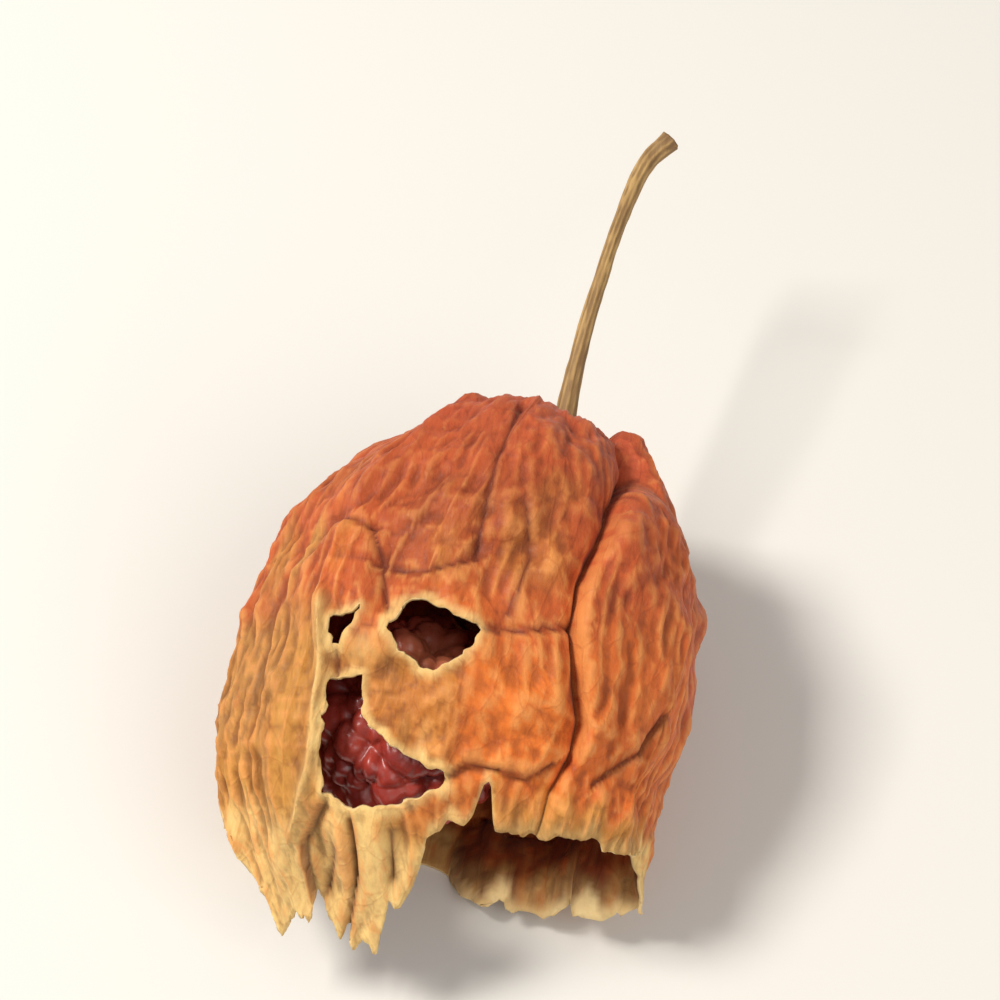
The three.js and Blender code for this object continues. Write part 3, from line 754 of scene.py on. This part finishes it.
stalk = {
    # from the seat under the berry out to the broken end: place, and half thickness
    "line": np.array([
        [-1.2, 14.2, 0.2, 2.0],
        [0.4, 12.8, 0.2, 1.5],
        [2.6, 11.0, 0.1, 1.15],
        [3.9, 9.0, 0, 0.95],
        [3.9, 5.0, 0, 0.9],
        [4.0, 0.5, 0.1, 0.85],
        [4.2, -5.0, 0.6, 0.65],
        [4.8, -11.0, 1.0, 0.55],
        [5.6, -17.0, 0.8, 0.55],
        [6.8, -22.4, 0.4, 0.7],
        [8.2, -24.3, 0.6, 0.85],
    ]),
    "steps": 260, "sides": 48,
    "grooves": 9, "groove": 0.12,  # how many lengthwise grooves, and their depth as a share of the thickness
    "seatDish": 0.1, "endDish": 0.2,  # how far the middle of the seat and of the end lie off their rims
}


def smoothLine(points, steps):
    # curve through the points, each stretch a cubic on the square root of its length
    gap = np.sqrt(np.linalg.norm(np.diff(points[:, :3], axis=0), axis=1))
    knot = np.concatenate([[0], np.cumsum(gap)])
    slope = np.gradient(points, knot, axis=0)
    t = np.linspace(0, knot[-1], steps + 1)
    k = np.clip(np.searchsorted(knot, t, side="right") - 1, 0, len(gap) - 1)
    u = ((t - knot[k]) / gap[k])[:, None]
    g = gap[k][:, None]
    return (
        points[k] * (1 + 2 * u) * (1 - u) ** 2
        + slope[k] * g * u * (1 - u) ** 2
        + points[k + 1] * u * u * (3 - 2 * u)
        - slope[k + 1] * g * u * u * (1 - u)
    )


def makeStalk():
    # a fluted circle carried along the line, whose thickness is in the table
    line = smoothLine(stalk["line"], stalk["steps"])
    middle = place(line[:, 0], line[:, 1], line[:, 2])
    ahead = np.gradient(middle, axis=0)
    ahead /= np.linalg.norm(ahead, axis=1, keepdims=True)
    side = np.cross(ahead, [0, 0, 1])
    side /= np.linalg.norm(side, axis=1, keepdims=True)
    up = np.cross(side, ahead)
    t = np.linspace(0, 1, stalk["steps"] + 1)[:, None]
    spin = (np.arange(stalk["sides"]) / stalk["sides"] * 2 * math.pi)[None, :]
    twist = spin + 1.2 * t
    flute = 1 - stalk["groove"] * np.abs(np.sin(twist * stalk["grooves"] / 2)) ** 0.7
    flute += 0.05 * softNoise(twist / (2 * math.pi) * 16, t * 60, 16, 71)
    flute += 0.04 * softNoise(twist / (2 * math.pi) * 5, t * 14, 5, 73)
    r = np.maximum(line[:, 3:4], 0.5) * mm * flute
    points = middle[:, None] + r[..., None] * (
        np.cos(spin)[..., None] * side[:, None] + np.sin(spin)[..., None] * up[:, None]
    )
    rows, columns = points.shape[:2]
    seat = middle[0] - ahead[0] * stalk["seatDish"] * mm
    broken = middle[-1] - ahead[-1] * stalk["endDish"] * mm
    closed = np.concatenate([points.reshape(-1, 3), [seat, broken]])
    # attribute "run": red is how far along, green how deep in a groove
    along = np.concatenate([np.broadcast_to(t, (rows, columns)).ravel(), [0, 1]])
    groove = np.concatenate([((1 - flute) / stalk["groove"]).ravel(), [1, 1]])
    values = np.stack([along, np.clip(groove, 0, 1), along, np.ones(len(along))], -1)
    piece = makeObject("stalk_straw", closed, closedFaces(rows, columns), {"run": values})
    piece.data.materials.append(stalkStraw())
    return piece


# The finishes

class Nodes:
    # short helpers that add shader nodes to one material
    def __init__(self, name):
        self.material = bpy.data.materials.new(name)
        self.material.use_nodes = True
        self.tree = self.material.node_tree
        self.shader = self.tree.nodes["Principled BSDF"]

    def fill(self, node, inputs):
        # gives each input a number, a colour or another node's output
        for key, value in inputs.items():
            if isinstance(value, bpy.types.NodeSocket):
                self.tree.links.new(value, node.inputs[key])
            else:
                node.inputs[key].default_value = value

    def add(self, kind, inputs=None, **options):
        node = self.tree.nodes.new(kind)
        for key, value in options.items():
            setattr(node, key, value)
        self.fill(node, inputs or {})
        return node

    def coordinates(self, scale=(1, 1, 1)):
        # Object coordinates, stretched by scale
        source = self.add("ShaderNodeTexCoord").outputs["Object"]
        return self.add("ShaderNodeMapping", {"Vector": source, "Scale": scale}).outputs["Vector"]

    def noise(self, vector, scale, detail, roughness):
        inputs = {"Vector": vector, "Scale": scale, "Detail": detail, "Roughness": roughness}
        return self.add("ShaderNodeTexNoise", inputs).outputs["Fac"]

    def creased(self, vector, scale):
        # sharp crests between rounded hollows
        inputs = {"Vector": vector, "Scale": scale, "Detail": 3.0}
        return self.add("ShaderNodeTexNoise", inputs, noise_type="RIDGED_MULTIFRACTAL").outputs["Fac"]

    def cells(self, vector, scale, bend):
        # distance to the borders of random cells, after noise has bent the vector
        push = self.add("ShaderNodeTexNoise", {"Vector": vector, "Scale": scale * 0.7}).outputs["Color"]
        inputs = {0: push, 1: (bend, bend, bend), 2: vector}
        moved = self.add("ShaderNodeVectorMath", inputs, operation="MULTIPLY_ADD").outputs[0]
        inputs = {"Vector": moved, "Scale": scale}
        return self.add("ShaderNodeTexVoronoi", inputs, feature="DISTANCE_TO_EDGE").outputs["Distance"]

    def ramp(self, value, low, high, start, end):
        # from start to end as the value goes from low to high
        inputs = {"Value": value, "From Min": low, "From Max": high, "To Min": start, "To Max": end}
        return self.add("ShaderNodeMapRange", inputs).outputs["Result"]

    def blend(self, factor, first, second, mode="MIX"):
        # the mix node's colours are its inputs 6 and 7, and its output 2
        def colour(value):
            return value if isinstance(value, bpy.types.NodeSocket) else (*[float(v) for v in value], 1)

        inputs = {0: factor, 6: colour(first), 7: colour(second)}
        return self.add("ShaderNodeMix", inputs, data_type="RGBA", blend_type=mode).outputs[2]

    def tint(self, factor, colour, by):
        # the colour multiplied by another, as far as factor says
        return self.blend(factor, colour, self.blend(1.0, colour, by, "MULTIPLY"))

    def bump(self, height, distance, strength, below=None):
        inputs = {"Height": height, "Distance": distance, "Strength": strength}
        if below:
            inputs["Normal"] = below
        return self.add("ShaderNodeBump", inputs).outputs["Normal"]

    def attribute(self, name):
        return self.add("ShaderNodeAttribute", attribute_name=name).outputs["Color"]

    def redAndGreen(self, name):
        split = self.add("ShaderNodeSeparateColor", {"Color": self.attribute(name)})
        return split.outputs["Red"], split.outputs["Green"]


# bumps are a height in metres and a strength; scales are cells to the metre
paperFinish = {
    "fibreScale": (1600, 260, 900), "fibreTint": (0.52, 0.36, 0.28), "fibreBump": (0.0001, 0.45),
    "stainScale": 560, "stainTint": (0.62, 0.44, 0.3), "stainBump": (0.00035, 0.5),
    "paleSpots": rgb(232, 168, 92),
    "grainScale": 2600, "grainBump": (0.00006, 0.5), "roughness": (0.5, 0.8),
    "netScale": 620, "netBend": 0.0011, "netTint": (0.6, 0.42, 0.3), "netBump": (0.00006, 0.35),
    "creaseScale": 700, "creaseBump": (0.00018, 0.65),
    # the inside's darkening is painted shade, with a browner tone
    "insideShadeAndTone": (0.62, 0.496, 0.409),
    "bleached": (rgb(232, 184, 112), rgb(248, 226, 172)),
    "gloss": 0.3, "sheen": 0.08,
    "glow": 0.06, "glowRadius": (1.0, 0.35, 0.12), "glowDepth": 0.0012,
    "edge": (rgb(214, 170, 100), rgb(240, 212, 156)), "edgeScale": 900, "edgeRoughness": 0.75,
}


def paperShader(name, inside=False):
    # painted colour with lengthwise fibres, small stains, pale spots and a net of fine cracks
    f = paperFinish
    m = Nodes(name)
    fibre = m.noise(m.coordinates(f["fibreScale"]), 1.0, 5.0, 0.65)
    stain = m.noise(m.coordinates((1, 0.5, 1)), f["stainScale"], 6.0, 0.66)
    grain = m.noise(m.coordinates(), f["grainScale"], 3.0, 0.7)
    net = m.cells(m.coordinates((1, 0.45, 1)), f["netScale"], f["netBend"])
    crease = m.creased(m.coordinates((1, 0.55, 1)), f["creaseScale"])

    colour = m.tint(m.ramp(fibre, 0.42, 0.7, 0.0, 0.4), m.attribute("paint"), f["fibreTint"])
    colour = m.tint(m.ramp(stain, 0.54, 0.68, 0.0, 0.34), colour, f["stainTint"])
    colour = m.blend(m.ramp(stain, 0.36, 0.24, 0.0, 0.4), colour, f["paleSpots"])
    colour = m.tint(m.ramp(net, 0.0, 0.05, 0.26, 0.0), colour, f["netTint"])
    if inside:
        # the inside is the outside paint darkened and browned: painted shade with a browner tone, turning to
        # the bleached colours near the belly's edge
        shaded = m.blend(1.0, colour, f["insideShadeAndTone"], "MULTIPLY")
        colour = m.blend(m.attribute("bleached"), shaded, m.blend(stain, *f["bleached"]))

    normal = m.bump(fibre, *f["fibreBump"])
    normal = m.bump(stain, *f["stainBump"], normal)
    normal = m.bump(grain, *f["grainBump"], normal)
    normal = m.bump(crease, *f["creaseBump"], normal)
    normal = m.bump(m.ramp(net, 0.0, 0.08, 1.0, 0.0), *f["netBump"], normal)
    m.fill(m.shader, {
        "Base Color": colour,
        "Roughness": m.ramp(grain, 0.3, 0.7, *f["roughness"]),
        "Normal": normal,
        "Specular IOR Level": f["gloss"],
        "Subsurface Weight": f["glow"],
        "Subsurface Radius": f["glowRadius"],
        "Subsurface Scale": f["glowDepth"],
        "Sheen Weight": f["sheen"],
    })
    return m.material


def paperEdge():
    m = Nodes("husk_edge")
    stain = m.noise(m.coordinates(), paperFinish["edgeScale"], 3.0, 0.6)
    colour = m.blend(stain, *paperFinish["edge"])
    m.fill(m.shader, {"Base Color": colour, "Roughness": paperFinish["edgeRoughness"]})
    return m.material


berryFinish = {
    # after the skin's two colours come the painted shade in the wrinkles and the painted light under the
    # round tear
    "skin": (rgb(178, 66, 50), rgb(142, 44, 38)), "deep": rgb(84, 24, 20), "dry": rgb(240, 138, 98),
    "stainScale": 320, "stainBump": (0.0003, 0.5),
    "creaseScale": 420, "creaseBump": (0.0005, 0.6),
    "fineScale": 1500, "fineBump": (0.00006, 0.5), "roughness": (0.26, 0.46),
    "coat": 0.25, "coatRoughness": 0.22,
    "glow": 0.08, "glowRadius": (1.0, 0.2, 0.15), "glowDepth": 0.001,
}


def berrySkin():
    # dark red skin with painted shade in the wrinkles, painted light under the round tear, and a waxy gloss
    f = berryFinish
    m = Nodes("berry_maroon")
    depth, dry = m.redAndGreen("skin")
    stain = m.noise(m.coordinates(), f["stainScale"], 5.0, 0.6)
    fine = m.noise(m.coordinates(), f["fineScale"], 4.0, 0.6)
    crease = m.creased(m.coordinates((1, 0.5, 1)), f["creaseScale"])
    colour = m.blend(m.ramp(stain, 0.35, 0.65, 0.0, 1.0), *f["skin"])
    # painted shade deeper in the wrinkles
    colour = m.blend(m.ramp(depth, 0.4, 0.95, 0.0, 0.5), colour, f["deep"])
    # painted light under the round tear
    colour = m.blend(m.ramp(dry, 0.1, 1.0, 0.0, 0.95), colour, f["dry"])
    normal = m.bump(stain, *f["stainBump"])
    normal = m.bump(crease, *f["creaseBump"], normal)
    normal = m.bump(fine, *f["fineBump"], normal)
    m.fill(m.shader, {
        "Base Color": colour,
        "Roughness": m.ramp(fine, 0.3, 0.7, *f["roughness"]),
        "Normal": normal,
        "Coat Weight": f["coat"],
        "Coat Roughness": f["coatRoughness"],
        "Subsurface Weight": f["glow"],
        "Subsurface Radius": f["glowRadius"],
        "Subsurface Scale": f["glowDepth"],
    })
    return m.material


stalkFinish = {
    "straw": (rgb(178, 140, 84), rgb(196, 158, 98)),  # from the fruit to the end
    # the groove colour is painted shade in the grooves
    "fibre": rgb(122, 86, 46), "groove": rgb(98, 66, 36), "end": rgb(104, 70, 40),
    "fibreScale": (1700, 160, 1700), "fibreBump": (0.00012, 0.7), "roughness": 0.68,
}


def stalkStraw():
    # dry straw, paler away from the fruit, with dark fibres and painted shade in the grooves
    f = stalkFinish
    m = Nodes("stalk_dry")
    along, groove = m.redAndGreen("run")
    fibre = m.noise(m.coordinates(f["fibreScale"]), 1.0, 5.0, 0.65)
    colour = m.blend(m.ramp(along, 0.4, 0.9, 0.0, 1.0), *f["straw"])
    colour = m.blend(m.ramp(fibre, 0.4, 0.68, 0.0, 0.7), colour, f["fibre"])
    # painted shade in the grooves
    colour = m.blend(m.ramp(groove, 0.4, 1.0, 0.0, 0.6), colour, f["groove"])
    colour = m.blend(m.ramp(along, 0.97, 1.0, 0.0, 0.5), colour, f["end"])
    normal = m.bump(fibre, *f["fibreBump"])
    m.fill(m.shader, {"Base Color": colour, "Roughness": f["roughness"], "Normal": normal})
    return m.material


print("making the pieces")
for make, node, slot in (
    (makeHusk, "husk", "husk_paper"),
    (makeBerry, "berry", "berry_skin"),
    (makeStalk, "stalk", "stalk_straw"),
):
    piece = make()
    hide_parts(node)
    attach(piece, "root")
    print(node, "done:", len(piece.data.vertices), "points")

# The floor, the lights and the camera

studio = {
    "floor": rgb(226, 222, 214), "floorRoughness": 0.8, "floorHalf": 0.6, "floorDrop": 0.00002,
    # area lights: where each stands, its size and its power
    "lights": {"window": ((-0.28, 0.0, 0.38), 0.13, 2.2), "fill": ((0.30, -0.22, 0.34), 0.4, 1.1)},
    "lightColour": (1.0, 0.97, 0.93),
    "skyColour": (0.95, 0.97, 1.0, 1), "sky": 0.3,
    # the camera: degrees to the right of the mouth, degrees up, lens, and how much it sees at the fruit
    "azimuth": 9.5, "elevation": 55.0, "lens": 90.0, "frameHeight": 0.070,
    "aim": (0.0, 0.0035, 0.0085),
}


def makeFloor():
    x = studio["floorHalf"] * np.array([-1, 1, 1, -1])
    y = studio["floorHalf"] * np.array([-1, -1, 1, 1])
    low = np.full(4, -studio["floorDrop"])
    floor = makeObject("floor", np.stack([x, y, low], -1), [[0, 1, 2, 3]])
    m = Nodes("floor_pale")
    colour = (*[float(v) for v in studio["floor"]], 1)
    m.fill(m.shader, {"Base Color": colour, "Roughness": studio["floorRoughness"]})
    floor.data.materials.append(m.material)


def makeLight(name, spot, size, power):
    # a square light that faces the frame's origin
    light = bpy.data.lights.new(name, "AREA")
    light.size = size
    light.energy = power
    light.color = studio["lightColour"]
    lamp = bpy.data.objects.new(name, light)
    lamp.location = spot
    back = np.array(spot) / np.linalg.norm(spot)
    lamp.rotation_euler = (math.acos(back[2]), 0, math.atan2(back[1], back[0]) + math.pi / 2)
    bpy.context.scene.collection.objects.link(lamp)


def makeCamera():
    # stands back from the aim, as far as its lens needs to see the frame's height
    a, e = math.radians(studio["azimuth"]), math.radians(studio["elevation"])
    back = np.array([math.sin(a) * math.cos(e), -math.cos(a) * math.cos(e), math.sin(e)])
    lens = bpy.data.cameras.new("camera")
    lens.lens = studio["lens"]
    lens.clip_start = 0.01
    reach = studio["frameHeight"] * studio["lens"] / lens.sensor_width
    camera = bpy.data.objects.new("camera", lens)
    camera.location = np.array(studio["aim"]) + back * reach
    camera.rotation_euler = (math.pi / 2 - e, 0, a)
    bpy.context.scene.collection.objects.link(camera)
    bpy.context.scene.camera = camera


makeFloor()
for name, values in studio["lights"].items():
    makeLight(name, *values)
makeCamera()
world = bpy.data.worlds.new("studio")
world.use_nodes = True
sky = world.node_tree.nodes["Background"]
sky.inputs["Color"].default_value = studio["skyColour"]
sky.inputs["Strength"].default_value = studio["sky"]
bpy.context.scene.world = world
bpy.context.scene.view_settings.view_transform = "Standard"
print("studio done")
